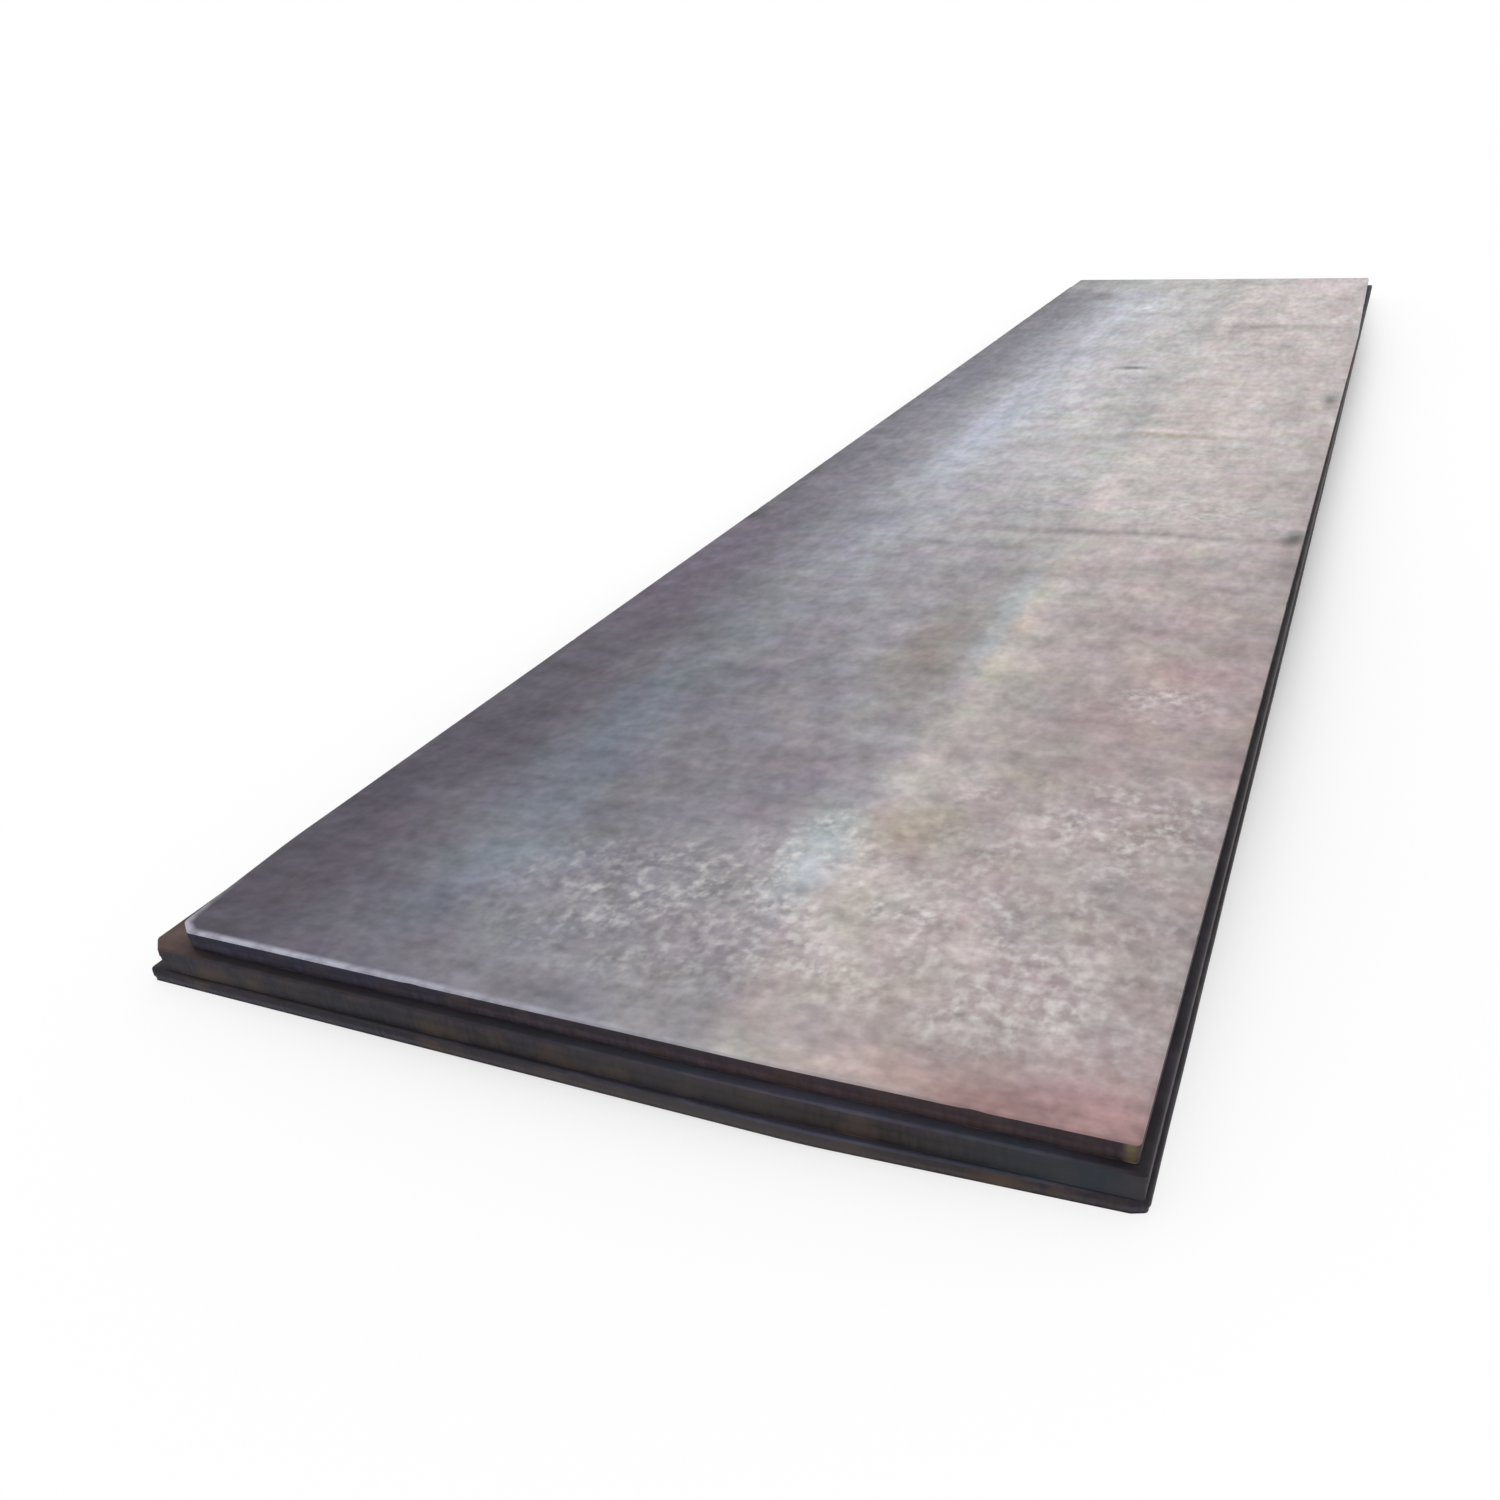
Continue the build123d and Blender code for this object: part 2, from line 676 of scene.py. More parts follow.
    def flakes(self, tree: Tree, place: Socket) -> Socket:
        """Makes flakes like low domes, nudged out of line, some whiter than others.

        Args:
            tree: The node tree.
            place: The position on the plate.

        Returns:
            The height of the flakes, up to 1.
        """
        bent = soft_noise(tree, place, self.nudge_spot, detail=2.0).outputs["Color"]
        reach = (self.nudge * self.fleck_across, self.nudge * self.fleck_along, 0)
        nudged = vector_maths(tree, "MULTIPLY_ADD", bent, reach, place)
        laid_out = add_node(
            tree,
            "ShaderNodeMapping",
            {0: nudged, 3: (1 / self.fleck_across, 1 / self.fleck_along, 0)},
        )
        cells = add_node(
            tree, "ShaderNodeTexVoronoi", {"Vector": laid_out.outputs[0], "Scale": 1.0}
        )
        crown, foot = self.fleck_slope
        domes = add_node(
            tree,
            "ShaderNodeMapRange",
            {0: cells.outputs["Distance"], 1: crown, 2: foot, 3: 1.0, 4: 0.0},
            interpolation_type="SMOOTHSTEP",
        )
        whiteness = add_node(
            tree,
            "ShaderNodeMapRange",
            {0: cells.outputs["Color"], 1: self.dull_until, 2: self.white_from, 3: self.dull_fleck},
        )
        return maths(tree, "MULTIPLY", domes.outputs[0], whiteness.outputs[0])

    def frosted(self, tree: Tree, place: Socket, drifted: Socket) -> tuple[Socket, Socket]:
        """Scatters whitish flakes and crumbs over the rubbed patches, like coarse frost.

        Args:
            tree: The node tree.
            place: The position on the plate.
            drifted: The same, wandering a little.

        Returns:
            The share of frost, and the height of the flakes.
        """
        zones = self.frost_zones(tree, place, drifted)
        flakes = self.flakes(tree, place)
        sizes = (self.crumb_size * self.fleck_across, self.crumb_size * self.fleck_along)
        spread = add_node(tree, "ShaderNodeMapping", {0: place, 3: (1 / sizes[0], 1 / sizes[1], 0)})
        crumbs = spots(
            tree,
            spread.outputs[0],
            size=1.0,
            detail=2.0,
            between=self.crumb_rim,
            curve=Curve.SOFT,
        )
        heaped = maths(tree, "MULTIPLY_ADD", flakes, self.fleck_share, crumbs)
        raised = maths(tree, "MULTIPLY", heaped, zones)
        return maths(tree, "MULTIPLY", raised, self.frost_cover, clamp=True), raised

    def worn(self, tree: Tree, place: Socket) -> Socket:
        """Finds where the arris is rubbed bright and given a painted highlight, from each point's
        distance to the outline.

        Args:
            tree: The node tree.
            place: The position on the plate.

        Returns:
            The share of rubbed metal and painted highlight.
        """
        rim = add_node(tree, "ShaderNodeAttribute", attribute_name="rim").outputs["Fac"]
        nearness = add_node(
            tree,
            "ShaderNodeMapRange",
            {0: rim, 1: self.wear_and_highlight_until, 2: self.wear_and_highlight_fades, 3: 1.0, 4: 0.0},
        )
        scrapes_and_highlight = spots(
            tree,
            place,
            self.scrape_and_highlight_spot,
            detail=4.0,
            between=(NOISE_LOW, self.scrape_and_highlight_full),
            levels=(self.scrape_and_highlight_least, 1.0),
        )
        zones = maths(tree, "MULTIPLY", patches_share(tree, place, self.wear_and_highlight_patches), scrapes_and_highlight)
        return maths(tree, "MULTIPLY", nearness.outputs[0], zones)

    def coloured(self, tree: Tree, drifted: Socket, width: float) -> Socket:
        """Lays temper colours over the bands and their patches.

        Args:
            tree: The node tree.
            drifted: The position on the plate, wandering a little.
            width: The plate's width.

        Returns:
            The colour.
        """
        banded = tinted(tree, self.banded(tree, drifted, width), drifted, self.tints)
        temper = soft_noise(tree, drifted, self.temper_spot, detail=3.0).outputs["Color"]
        lowest = 1 - self.hue_swing * NOISE_MIDDLE
        hues = vector_maths(tree, "MULTIPLY_ADD", temper, [self.hue_swing] * 3, [lowest] * 3)
        return vector_maths(tree, "MULTIPLY", banded, hues)

    def material(self, site: PlateSite) -> bpy.types.Material:
        """Builds the material for one plate's upper face.

        Args:
            site: Where the plate lies.

        Returns:
            The material.
        """
        material, tree = new_tree(self.name)
        place = site.coordinates(tree)
        wander = soft_noise(tree, place, self.wander_spot, detail=5.0).outputs["Color"]
        offset = vector_maths(tree, "SUBTRACT", wander, [NOISE_MIDDLE] * 3)
        drifted = vector_maths(tree, "MULTIPLY_ADD", offset, (self.drift, self.drift, 0), place)
        tone = self.tone(tree, place)
        toned = add_node(
            tree,
            "ShaderNodeVectorMath",
            {0: self.coloured(tree, drifted, site.width), 3: tone},
            operation="SCALE",
        )
        share, flecks = self.frosted(tree, place, drifted)
        whitened = mixed(tree, share, toned.outputs[0], hex_to_linear(self.frost))
        # The arris turns lighter here: rubbed metal with a painted highlight on it
        finished = mixed(tree, self.worn(tree, place), whitened, hex_to_linear(self.worn_and_highlit_arris))

        darkest, lightest = self.tone_range
        rough = add_node(
            tree,
            "ShaderNodeMapRange",
            {
                0: tone,
                1: darkest,
                2: lightest,
                3: self.roughness + self.dark_rougher,
                4: self.roughness - self.light_smoother,
            },
        )
        matt = maths(tree, "MULTIPLY_ADD", share, self.frost_rougher, rough.outputs[0], clamp=True)
        relief = maths(tree, "MULTIPLY_ADD", flecks, self.fleck_height, tone)
        bump = (self.bump, self.bump_height)
        add_shader(tree, finished, self.metallic, matt, relief, bump)
        return material


@dataclass(frozen=True)
class ShearedSteel:
    """The cut edge of thick plate: smooth dark land above, striated torn face below.

    It has stood in the yard, so it is nearly black with a brown film, and hardly glossy. Its dark
    colours hold painted shade as well, deepest at the underside.
    """

    name: str
    # The colours from the underside up, as shares of the thickness, and how they waver; the
    # darkest, at the underside, is painted shade where the plate sits on what lies below it
    levels: Bands = (
        (0.0, "1E1C1F"),
        (0.16, "39363A"),
        (0.42, "403D42"),
        (0.58, "29262C"),
        (1.0, "242129"),
    )
    waver_spot: float = 83.3 * MM
    waver: float = 0.24
    tints: tuple[Patch, ...] = ()
    metallic: float = 0.5
    roughness: float = 0.66

    # Long stretches turn from blue-black to maroon
    cool: str = "8488A0"
    warm: str = "9C8C8A"
    stretch_spot: float = 909 * MM
    turn_from: float = 0.4
    turn_until: float = 0.6

    # Upright striae of the torn face, drawn coarser than the real 1 to 3 mm so that they show,
    # and the dark and light that they give. The hues above darken the edge, and this lightens
    # it again, so both are over 1.
    striae_width: float = 9.09 * MM
    striae_width_to_height: float = 0.15
    darkest: float = 1.9
    lightest: float = 3.9
    bump: float = 0.6
    bump_height: float = 0.6 * MM

    # A broken film of rust
    rust: str = "4A3A32"
    film_spot: float = 76.9 * MM
    film_from: float = 0.50
    film_full: float = 0.68
    film_cover: float = 0.7

    def levelled(self, tree: Tree, place: Socket, site: PlateSite) -> Socket:
        """Colours the edge by height, in levels that waver.

        Args:
            tree: The node tree.
            place: The position on the plate.
            site: Where the plate lies.

        Returns:
            The colour.
        """
        height = add_node(tree, "ShaderNodeSeparateXYZ", {0: place}).outputs[2]
        rise = add_node(
            tree, "ShaderNodeMapRange", {0: height, 1: site.underside, 2: site.top}
        ).outputs[0]
        waver = soft_noise(tree, place, self.waver_spot, detail=4.0).outputs[0]
        level = maths(tree, "MULTIPLY_ADD", waver, self.waver, rise)
        centred = maths(tree, "SUBTRACT", level, self.waver * NOISE_MIDDLE)
        return colour_ramp(tree, centred, self.levels)

    def hued(self, tree: Tree, place: Socket, colour: Socket) -> Socket:
        """Turns long stretches of the edge cooler or warmer.

        Args:
            tree: The node tree.
            place: The position on the plate.
            colour: The colour of the edge.

        Returns:
            The turned colour.
        """
        between = (self.turn_from, self.turn_until)
        stretches = spots(tree, place, self.stretch_spot, detail=4.0, between=between)
        hue = mixed(tree, stretches, hex_to_linear(self.cool), hex_to_linear(self.warm))
        return vector_maths(tree, "MULTIPLY", colour, hue)

    def rusted(self, tree: Tree, place: Socket, colour: Socket) -> Socket:
        """Lays a broken film of rust over the edge.

        Args:
            tree: The node tree.
            place: The position on the plate.
            colour: The colour of the edge.

        Returns:
            The rusted colour.
        """
        film = spots(
            tree,
            place,
            self.film_spot,
            detail=8.0,
            between=(self.film_from, self.film_full),
            levels=(0.0, self.film_cover),
        )
        return mixed(tree, film, colour, hex_to_linear(self.rust))

    def material(self, site: PlateSite) -> bpy.types.Material:
        """Builds the material for one plate's edge.

        Args:
            site: Where the plate lies.

        Returns:
            The material.
        """
        material, tree = new_tree(self.name)
        place = site.coordinates(tree)
        upright = add_node(
            tree, "ShaderNodeMapping", {0: place, 3: (1.0, 1.0, self.striae_width_to_height)}
        )
        striae = soft_noise(tree, upright.outputs[0], self.striae_width, detail=4.0).outputs[0]
        swing = add_node(
            tree,
            "ShaderNodeMapRange",
            {0: striae, 1: NOISE_LOW, 2: NOISE_HIGH, 3: self.darkest, 4: self.lightest},
        )
        colour = self.hued(tree, place, self.levelled(tree, place, site))
        toned = add_node(
            tree, "ShaderNodeVectorMath", {0: colour, 3: swing.outputs[0]}, operation="SCALE"
        ).outputs[0]
        finished = tinted(tree, self.rusted(tree, place, toned), place, self.tints)
        bump = (self.bump, self.bump_height)
        add_shader(tree, finished, self.metallic, self.roughness, striae, bump)
        return material


@dataclass
class SteelPlate:
    """One plate of the pile, built on the outline of its solid."""

    node: str
    face_finish: MillScale
    edge_finish: ShearedSteel
    # The size of a cell of the face's grid, and the plate's place in the noise
    cell: float
    seed: float
    edge_step: float = 9 * MM
    # How far down the rollover the face's finish reaches, as a share of its radius
    face_reach: float = 0.7
    cut: ShearCut = field(default_factory=ShearCut)
    wear: Wear = field(default_factory=Wear)

    def outline(self) -> list[Vector]:
        """Reads the plate's outline off its solid.

        Returns:
            The corners of the outline at the burnished land, anticlockwise seen from above.
        """
        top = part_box(self.node)[1].z
        level = top - self.cut.rollover - self.cut.land / 2
        section = bmesh.new()
        section.from_mesh(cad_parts[self.node].data)
        bmesh.ops.remove_doubles(section, verts=section.verts, dist=WELD)
        bmesh.ops.bisect_plane(
            section,
            geom=[*section.verts, *section.edges, *section.faces],
            plane_co=(0, 0, level),
            plane_no=(0, 0, 1),
            clear_inner=True,
            clear_outer=True,
        )
        bmesh.ops.remove_doubles(section, verts=section.verts, dist=SECTION_WELD)
        points = [Vector((v.co.x, v.co.y)) for v in section.verts]
        section.free()
        middle = sum(points, Vector((0, 0))) / len(points)
        points.sort(key=lambda p: atan2(p.y - middle.y, p.x - middle.x))
        kept = []
        for before, point, after in zip([points[-1], *points], points, [*points[1:], points[0]]):
            if abs((point - before).angle_signed(after - point)) > STRAIGHT:
                kept.append(point)
        return kept

    def sides(self, outline: list[Vector]) -> list[tuple[Vector, Vector]]:
        """Turns an outline into its straight sides.

        Args:
            outline: The corners, anticlockwise.

        Returns:
            A point on each side and the side's outward direction.
        """
        ends = zip(outline, [*outline[1:], outline[0]])
        return [(a, Vector(((b - a).y, -(b - a).x)).normalized()) for a, b in ends]

    def site(self, outline: list[Vector]) -> PlateSite:
        """Finds where the plate lies, and how far its left edge is turned from Y.

        Args:
            outline: The corners of the outline.

        Returns:
            The plate's place.
        """
        low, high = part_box(self.node)
        left = [p for p in outline if p.x < 0]
        steps = (a - b for a, b in zip(left, left[1:] + left[:1]))
        lean = max(steps, key=lambda step: abs(step.y))
        lean = lean if lean.y > 0 else -lean
        corner = Vector((low.x, low.y, 0))
        return PlateSite(corner, atan2(-lean.x, lean.y), high.x - low.x, low.z, high.z)

    def boundary_directions(self, mesh: bmesh.types.BMesh) -> dict[bmesh.types.BMVert, Vector]:
        """Finds the outward direction at each point of the open boundary.

        Args:
            mesh: The flat upper face.

        Returns:
            The outward direction by vertex.
        """
        sums: dict[bmesh.types.BMVert, Vector] = defaultdict(lambda: Vector((0, 0, 0)))
        for edge in mesh.edges:
            if edge.is_boundary:
                a, b = (v.co for v in edge.verts)
                out = Vector(((b - a).y, -(b - a).x, 0)).normalized()
                inside = edge.link_faces[0].calc_center_median() - a
                out = -out if out.dot(inside) > 0 else out
                for vert in edge.verts:
                    sums[vert] += out
        return {vert: total.normalized() for vert, total in sums.items()}

    def upper_face(self, outline: list[Vector]) -> bmesh.types.BMesh:
        """Builds the flat upper face, gridded and cut to its outline inside the rollover.

        Args:
            outline: The corners of the outline.

        Returns:
            The open mesh, its boundary in short steps.
        """
        low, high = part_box(self.node)
        size = high - low
        mesh = bmesh.new()
        # A grid of side 1, stretched over the plate's box
        bmesh.ops.create_grid(
            mesh,
            x_segments=max(1, round(size.x / self.cell)),
            y_segments=max(1, round(size.y / self.cell)),
            size=0.5,
            matrix=Matrix.Translation(((low.x + high.x) / 2, (low.y + high.y) / 2, high.z))
            @ Matrix.Diagonal((size.x, size.y, 1, 1)),
        )
        for point, out in self.sides(outline):
            edge_point = point - out * self.cut.rollover
            bmesh.ops.bisect_plane(
                mesh,
                geom=[*mesh.verts, *mesh.edges, *mesh.faces],
                plane_co=(*edge_point, high.z),
                plane_no=(*out, 0),
                clear_outer=True,
            )
        bmesh.ops.remove_doubles(mesh, verts=mesh.verts, dist=GRID_WELD)
        by_cuts = defaultdict(list)
        for edge in mesh.edges:
            if edge.is_boundary:
                by_cuts[ceil(edge.calc_length() / self.edge_step) - 1].append(edge)
        for cuts, edges in by_cuts.items():
            if cuts > 0:
                bmesh.ops.subdivide_edges(mesh, edges=edges, cuts=cuts)
        return mesh

    def shape(self, outline: list[Vector]) -> bmesh.types.BMesh:
        """Builds the plate: its upper face, and its edge ring by ring down to the underside.

        Args:
            outline: The corners of the outline.

        Returns:
            The closed mesh, before wear.
        """
        low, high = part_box(self.node)
        mesh = self.upper_face(outline)
        directions = self.boundary_directions(mesh)
        ring = [edge for edge in mesh.edges if edge.is_boundary]
        feet = {vert: vert.co.copy() for vert in directions}
        for inset, depth in self.cut.rows(high.z - low.z):
            made = bmesh.ops.extrude_edge_only(mesh, edges=ring)["geom"]
            new_verts = {g for g in made if isinstance(g, bmesh.types.BMVert)}
            ring = [
                g
                for g in made
                if isinstance(g, bmesh.types.BMEdge) and all(v in new_verts for v in g.verts)
            ]
            carried = {}
            for vert in new_verts:
                source = next(
                    e.other_vert(vert) for e in vert.link_edges if e.other_vert(vert) not in new_verts
                )
                carried[vert] = (directions[source], feet[source])
            for vert, (out, foot) in carried.items():
                vert.co = foot + out * (self.cut.rollover - inset) - Vector((0, 0, depth))
            directions = {vert: pair[0] for vert, pair in carried.items()}
            feet = {vert: pair[1] for vert, pair in carried.items()}
        bmesh.ops.contextual_create(mesh, geom=ring)
        bmesh.ops.recalc_face_normals(mesh, faces=mesh.faces)
        return mesh

    def weather(self, mesh: bmesh.types.BMesh, outline: list[Vector]) -> None:
        """Moves the mesh in from the true solid, and notes each point's distance to the outline.

        Args:
            mesh: The plate's mesh.
            outline: The corners of the outline.
        """
        low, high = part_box(self.node)
        sides = self.sides(outline)
        points = np.array([side[0] for side in sides])
        outs = np.array([side[1] for side in sides])
        places = np.array([vert.co for vert in mesh.verts])
        gaps = (points * outs).sum(1)[None] - places[:, :2] @ outs.T
        rim = mesh.verts.layers.float.new("rim")
        shift = Vector((self.seed, 0, 0))
        land_foot = self.cut.rollover + self.cut.land
        edge_until = self.cut.rollover + EDGE_SLACK
        for vert, side, gap in zip(mesh.verts, gaps.argmin(1), gaps.min(1)):
            vert[rim] = gap
            depth = high.z - vert.co.z
            spot = vert.co + shift
            if gap < edge_until and vert.co.z > low.z + NEAR_FACE:
                out = sides[side][1]
                vert.co -= Vector((out.x, out.y, 0)) * self.wear.at_edge(spot, depth, land_foot)
            sag = max(0, 1 - depth / land_foot)
            if sag > 0:
                vert.co.z -= sag * self.wear.at_face(spot)

    def build(self) -> bpy.types.Object:
        """Builds and dresses the plate.

        Returns:
            The plate's object, riding on the pile's one body.
        """
        low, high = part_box(self.node)
        outline = self.outline()
        mesh = self.shape(outline)
        self.weather(mesh, outline)
        for face in mesh.faces:
            face.smooth = True
            depth = high.z - face.calc_center_median().z
            on_edge = self.cut.rollover * self.face_reach < depth < high.z - low.z - NEAR_FACE
            face.material_index = (Side.EDGE if on_edge else Side.FACE).value
        data = bpy.data.meshes.new(self.node + "_worn")
        mesh.to_mesh(data)
        mesh.free()
        data.set_sharp_from_angle(angle=SHARP)
        piece = bpy.data.objects.new(self.node + "_worn", data)
        bpy.context.scene.collection.objects.link(piece)
        site = self.site(outline)
        data.materials.append(self.face_finish.material(site))
        data.materials.append(self.edge_finish.material(site))
        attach(piece, "root")
        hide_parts(self.node)
        return piece


@dataclass
class Studio:
    """A plain pale floor, soft light and the photograph's viewpoint."""

    camera_place: tuple[float, float, float] = (1.1075, -5.4894, 1.4807)
    # Degrees
    camera_turn: tuple[float, float, float] = (63.673, 3.562, 22.563)
    # Millimetres, and a share of the picture's width
    lens: float = 32.98
    sensor: float = 36.0
    shift_x: float = -0.0275
    view_reach: float = 200.0

    # The floor keeps the shadow within an oval, and turns white from this share of the oval on
    floor_half: float = 60.0
    floor_colour: str = "FAFAFA"
    shadow_across: float = 2.4
    shadow_along: float = 5.4
    white_from: float = 0.45

    sky_light: float = 0.96
    softbox_power: float = 50.0
    softbox_across: float = 5.0
    softbox_along: float = 9.0
    softbox_place: tuple[float, float, float] = (-1.0, 0.5, 5.0)
    softbox_lean: float = -10.0

    def camera(self) -> None:
        """Places the camera where the photograph was taken from."""
        data = bpy.data.cameras.new("viewpoint")
        data.sensor_fit = "HORIZONTAL"
        data.sensor_width = self.sensor
        data.lens = self.lens
        data.shift_x = self.shift_x
        data.clip_end = self.view_reach
        camera = bpy.data.objects.new("viewpoint", data)
        camera.location = self.camera_place
        camera.rotation_euler = Euler([radians(a) for a in self.camera_turn], "XYZ")
        bpy.context.scene.collection.objects.link(camera)
        bpy.context.scene.camera = camera

    def seen_rays(self, tree: Tree) -> Socket:
        """Adds a switch that is 1 for what the eye, a reflection or a clear body sees.

        Args:
            tree: The node tree of the world or a material.

        Returns:
            The switch.
        """
        path = add_node(tree, "ShaderNodeLightPath")
        total = path.outputs["Is Camera Ray"]
        for name in ("Is Glossy Ray", "Is Transmission Ray"):
            total = maths(tree, "MAXIMUM", total, path.outputs[name])
        return total

    def floor_finish(self) -> bpy.types.Material:
        """Makes the floor's material, matt pale paint that fades to white away from the pile.

        Returns:
            The material.
        """
        material, tree = new_tree("matt_pale_paint")
        shader = add_node(tree, "ShaderNodeBsdfDiffuse", {"Color": hex_to_linear(self.floor_colour)})
        white = add_node(tree, "ShaderNodeEmission", {0: (1, 1, 1, 1), 1: 1.0})
        around = add_node(
            tree,
            "ShaderNodeMapping",
            {
                0: add_node(tree, "ShaderNodeTexCoord").outputs["Object"],
                3: (1 / self.shadow_across, 1 / self.shadow_along, 1),
            },
        )
        distance = add_node(
            tree, "ShaderNodeVectorMath", {0: around.outputs[0]}, operation="LENGTH"
        )
        away = add_node(
            tree,
            "ShaderNodeMapRange",
            {0: distance.outputs["Value"], 1: self.white_from, 2: 1.0},
            interpolation_type="SMOOTHSTEP",
        )
        share = maths(tree, "MULTIPLY", away.outputs[0], self.seen_rays(tree))
        blend = add_node(
            tree, "ShaderNodeMixShader", {0: share, 1: shader.outputs[0], 2: white.outputs[0]}
        )
        add_node(tree, "ShaderNodeOutputMaterial", {0: blend.outputs[0]})
        return material

    def floor(self) -> None:
        """Lays the pale floor, which keeps the pile's shadow."""
        mesh = bmesh.new()
        bmesh.ops.create_grid(mesh, x_segments=1, y_segments=1, size=self.floor_half)
        data = bpy.data.meshes.new("floor")
        mesh.to_mesh(data)
        mesh.free()
        data.materials.append(self.floor_finish())
        floor = bpy.data.objects.new("floor", data)
        bpy.context.scene.collection.objects.link(floor)

    def sky(self) -> None:
        """Sets an even sky: white to the eye and to reflections, soft light on the object."""
        world = bpy.data.worlds.new("studio")
        bpy.context.scene.world = world
        world.use_nodes = True
        tree = world.node_tree
        tree.nodes.clear()
        light = add_node(tree, "ShaderNodeBackground", {0: (1, 1, 1, 1), 1: self.sky_light})
        white = add_node(tree, "ShaderNodeBackground", {0: (1, 1, 1, 1), 1: 1.0})
        blend = add_node(
            tree,
            "ShaderNodeMixShader",
            {0: self.seen_rays(tree), 1: light.outputs[0], 2: white.outputs[0]},
        )
        add_node(tree, "ShaderNodeOutputWorld", {0: blend.outputs[0]})

    def softbox(self) -> None:
        """Hangs one large soft lamp over the pile."""
        data = bpy.data.lights.new("softbox", "AREA")
        data.shape = "RECTANGLE"
        data.size = self.softbox_across
        data.size_y = self.softbox_along
        data.energy = self.softbox_power
        lamp = bpy.data.objects.new("softbox", data)
        lamp.location = self.softbox_place
        lamp.rotation_euler = Euler((0, radians(self.softbox_lean), 0), "XYZ")
        bpy.context.scene.collection.objects.link(lamp)

    def build(self) -> None:
        """Sets the whole studio."""
        self.camera()
        self.floor()
        self.sky()
        self.softbox()
        bpy.context.scene.view_settings.view_transform = "Standard"


# Hot rolled plate with its scale on, seen along its length: dull mauve at the left, pale pinkish
# grey at the right, and a straight change between the two. The frost of broken scale is densest
# over the first metre.
TOP_FACE = MillScale(
    name="mill_scale_top",
    near_bands=(
        (0.0, "48434F"),
        (0.20, "57515D"),
        (0.42, "6E6E78"),
        (0.62, "7B7881"),
        (0.85, "86828A"),
        (1.07, "8D898D"),
        (1.15, "A79E9C"),
        (1.45, "A29796"),
        (1.80, "968A8B"),
    ),
    # Paler towards the far end: the scale's own tone, with a painted reflection of the sky at the low
    # angle
    far_bands=(
        (0.0, "57545F"),
        (0.12, "6A6874"),
        (0.22, "787682"),
        (0.36, "9998A2"),
        (0.52, "B0B1BB"),
        (0.80, "B6B3B5"),
        (1.08, "B4B0B0"),
        (1.16, "C6BDBB"),
        (1.45, "C1B7B5"),
        (1.80, "B2A8A7"),
    ),
    tints=(
        # Olive, blue and cream along the edge of the pale half
        Patch(0.98, 1.65, 0.14, 0.50, 0.8, "837B70"),
        Patch(1.11, 2.00, 0.06, 0.70, 0.8, "A3A8AC"),
        Patch(1.17, 2.00, 0.05, 0.90, 0.8, "BCB2A9"),
        Patch(1.22, 0.75, 0.16, 0.16, 0.8, "94857A"),
        # Violet and blue temper colours in the dark half
        Patch(0.10, 0.95, 0.18, 0.55, 0.7, "453F50"),
        Patch(0.10, 2.20, 0.16, 0.90, 0.8, "6B5C73"),
        Patch(0.42, 1.00, 0.16, 0.60, 0.8, "6E7884"),
        Patch(1.07, 0.60, 0.08, 0.26, 0.9, "9FA8AE"),
        Patch(0.50, 0.45, 0.18, 0.30, 0.6, "75818C"),
        Patch(0.85, 0.98, 0.30, 0.22, 0.8, "7C757E"),
        # Thin pink rust at the right
        Patch(1.62, 1.55, 0.30, 0.80, 0.7, "A69291"),
        Patch(1.70, 0.00, 0.45, 0.18, 1.4, "977C7B"),
        # Blue and pale grey towards the far end
        Patch(0.52, 4.00, 0.14, 0.90, 0.8, "A9B1BF"),
        Patch(1.25, 3.95, 0.22, 0.07, 1.0, "9C9080"),
        Patch(0.80, 7.80, 1.30, 0.50, 0.9, "ABAAA5"),
        Patch(1.62, 7.75, 0.35, 0.40, 1.2, "C0B2B5"),
        # Dark cross marks, and dark marks beside the edges
        Patch(0.875, 5.21, 0.09, 0.06, 1.3, "67625F"),
        Patch(0.30, 7.30, 0.16, 0.22, 0.9, "77747A"),
        Patch(1.35, 2.70, 0.70, 0.05, 0.7, "7B7476"),
        Patch(0.03, 2.68, 0.10, 0.10, 1.2, "38373A"),
        Patch(1.78, 2.75, 0.05, 0.10, 1.2, "4A4648"),
        Patch(1.80, 4.60, 0.05, 0.20, 1.0, "5A5456"),
        Patch(1.40, 6.32, 0.60, 0.10, 0.8, "9A908C"),
        Patch(0.15, 4.85, 0.15, 0.60, 0.5, "6E6E80"),
    ),
    frost_patches=(
        Patch(0.93, 0.37, 0.50, 0.34, 1.1),
        Patch(1.08, 0.60, 0.10, 0.22, 1.5),
        Patch(1.25, 0.34, 0.22, 0.20, 0.6),
        Patch(1.42, 0.50, 0.55, 0.46, 0.95),
        Patch(1.62, 0.24, 0.35, 0.20, 0.8),
        Patch(1.62, 0.90, 0.30, 0.26, 1.2),
        Patch(1.60, 1.45, 0.14, 0.14, 1.4),
        Patch(1.28, 0.95, 0.10, 0.10, 1.0),
        Patch(1.45, 2.95, 0.60, 0.30, 0.9),
        Patch(0.95, 3.30, 0.60, 0.80, 0.45),
        Patch(1.40, 3.60, 0.50, 0.60, 0.55),
        Patch(1.20, 5.20, 0.70, 1.00, 0.35),
    ),
    # Where the arris is light: rubbed metal with a painted highlight, at the near end and along the
    # far right edge
    wear_and_highlight_patches=(
        Patch(0.10, 0.0, 0.80, 0.2, 1.2),
        Patch(0.80, 0.0, 0.80, 0.2, 0.5),
        Patch(1.79, 7.2, 0.20, 1.6, 1.2),
    ),
)
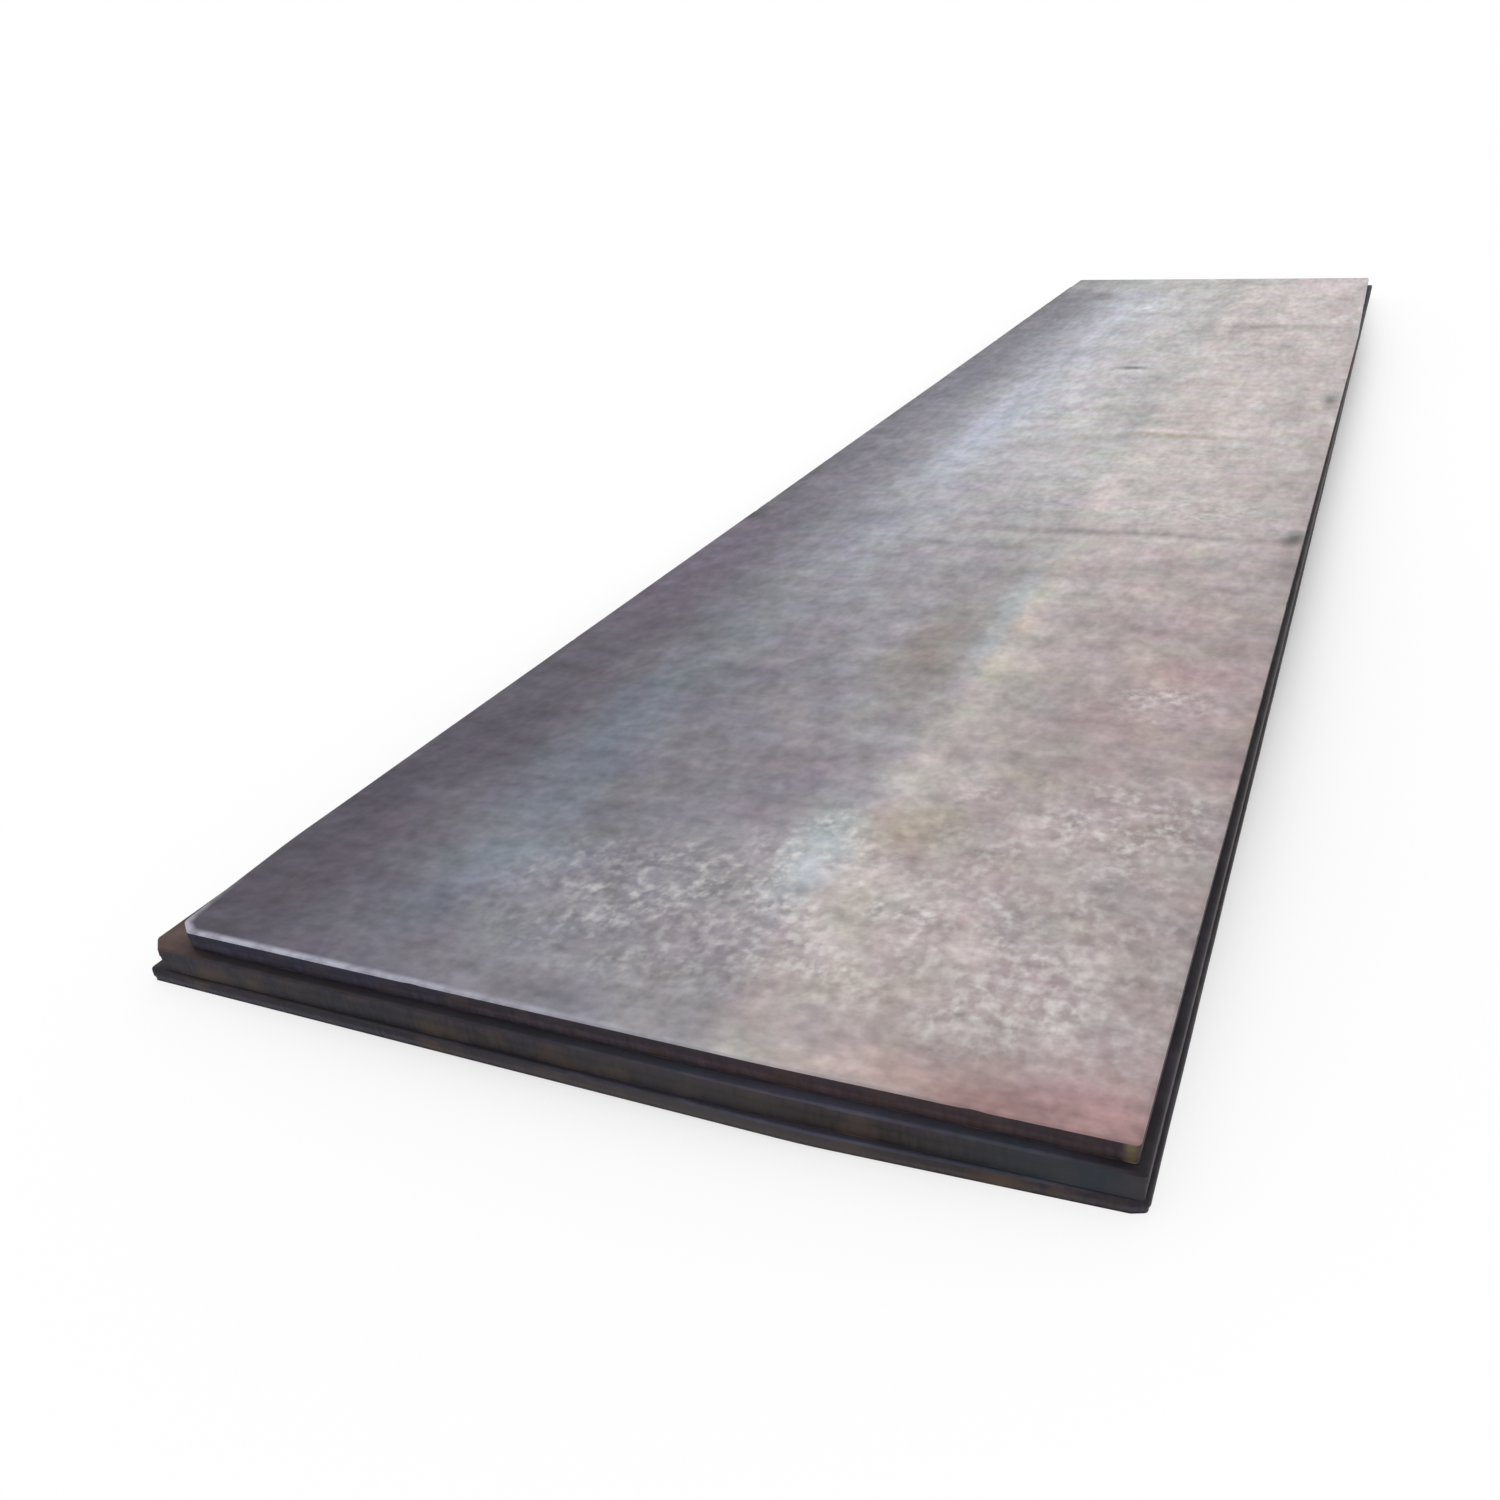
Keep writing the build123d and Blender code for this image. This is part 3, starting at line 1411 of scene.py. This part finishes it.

# The same rolled surface, coloured darker and duller than the face that lies open above it: its
# own dull tone, with painted shade beside the plate above
NEAR_LEDGE = ((0.0, "2C2629"), (0.9, "34323A"), (1.3, "434250"), (1.7, "3C3C48"), (1.86, "2A262C"))
FAR_LEDGE = ((0.0, "2C2629"), (0.9, "34323A"), (1.7, "2A262C"), (1.86, "1C181C"))
BOTTOM_FACE = MillScale(
    name="mill_scale_bottom",
    near_bands=NEAR_LEDGE,
    far_bands=FAR_LEDGE,
    near_until=0.2,
    far_from=1.2,
    roughness=0.6,
    metallic=0.6,
)
MIDDLE_FACE = replace(
    BOTTOM_FACE,
    name="mill_scale_middle",
    tints=(Patch(0.03, 0.06, 0.14, 0.30, 1.0, "55403C"),),
)

# Cut steel gone blue-black to brown, with a dull band of torn metal in the lower half, and
# darkened with painted shade, most at the underside. The top plate's edge is the lightest.
TOP_EDGE = ShearedSteel(
    "sheared_edge_top",
    levels=(
        (0.0, "1E1C1F"),
        (0.14, "4C4649"),
        (0.40, "514B50"),
        (0.62, "2C282F"),
        (1.0, "282430"),
    ),
    tints=(
        Patch(0.35, 0.0, 0.60, 0.2, 0.5, "26273C"),
        Patch(1.40, 0.0, 0.60, 0.2, 0.4, "44323A"),
        Patch(1.80, 4.2, 0.30, 5.0, 1.2, "35282C"),
        Patch(1.785, 0.0, 0.014, 0.1, 1.4, "665A48"),
    ),
)
MIDDLE_EDGE = ShearedSteel(
    "sheared_edge_middle",
    levels=(
        (0.0, "1E1C1F"),
        (0.14, "2D2A2C"),
        (0.40, "34312F"),
        (0.62, "2A282B"),
        (1.0, "3A363C"),
    ),
    tints=(
        Patch(1.15, 0.0, 0.35, 0.2, 0.6, "3A363A"),
        Patch(1.78, 0.0, 0.30, 0.2, 0.8, "28323C"),
        Patch(1.88, 3.0, 0.10, 4.0, 1.2, "46363A"),
    ),
)
BOTTOM_EDGE = ShearedSteel(
    "sheared_edge_bottom",
    tints=(Patch(1.20, 0.0, 0.60, 0.2, 0.8, "464243"), Patch(1.66, 0.0, 0.06, 0.1, 1.0, "4E3D33")),
)

# Only the top plate's face is open, so only it has a fine grid
FINE_CELL = 20 * MM
WHOLE_CELL = 10.0

PLATES = (
    SteelPlate("bottom_plate", BOTTOM_FACE, BOTTOM_EDGE, cell=WHOLE_CELL, seed=31.0),
    SteelPlate("middle_plate", MIDDLE_FACE, MIDDLE_EDGE, cell=WHOLE_CELL, seed=17.0),
    SteelPlate("top_plate", TOP_FACE, TOP_EDGE, cell=FINE_CELL, seed=0.0),
)


def main() -> None:
    """Builds the studio and the pile, and reports each piece."""
    logging.basicConfig(level=logging.INFO, format="%(message)s")
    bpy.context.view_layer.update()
    Studio().build()
    for plate in PLATES:
        piece = plate.build()
        polygons = piece.data.polygons
        triangles = sum(len(polygon.vertices) - 2 for polygon in polygons)
        LOG.info("%s: %d faces, %d triangles", piece.name, len(polygons), triangles)


if __name__ == "__main__":
    main()
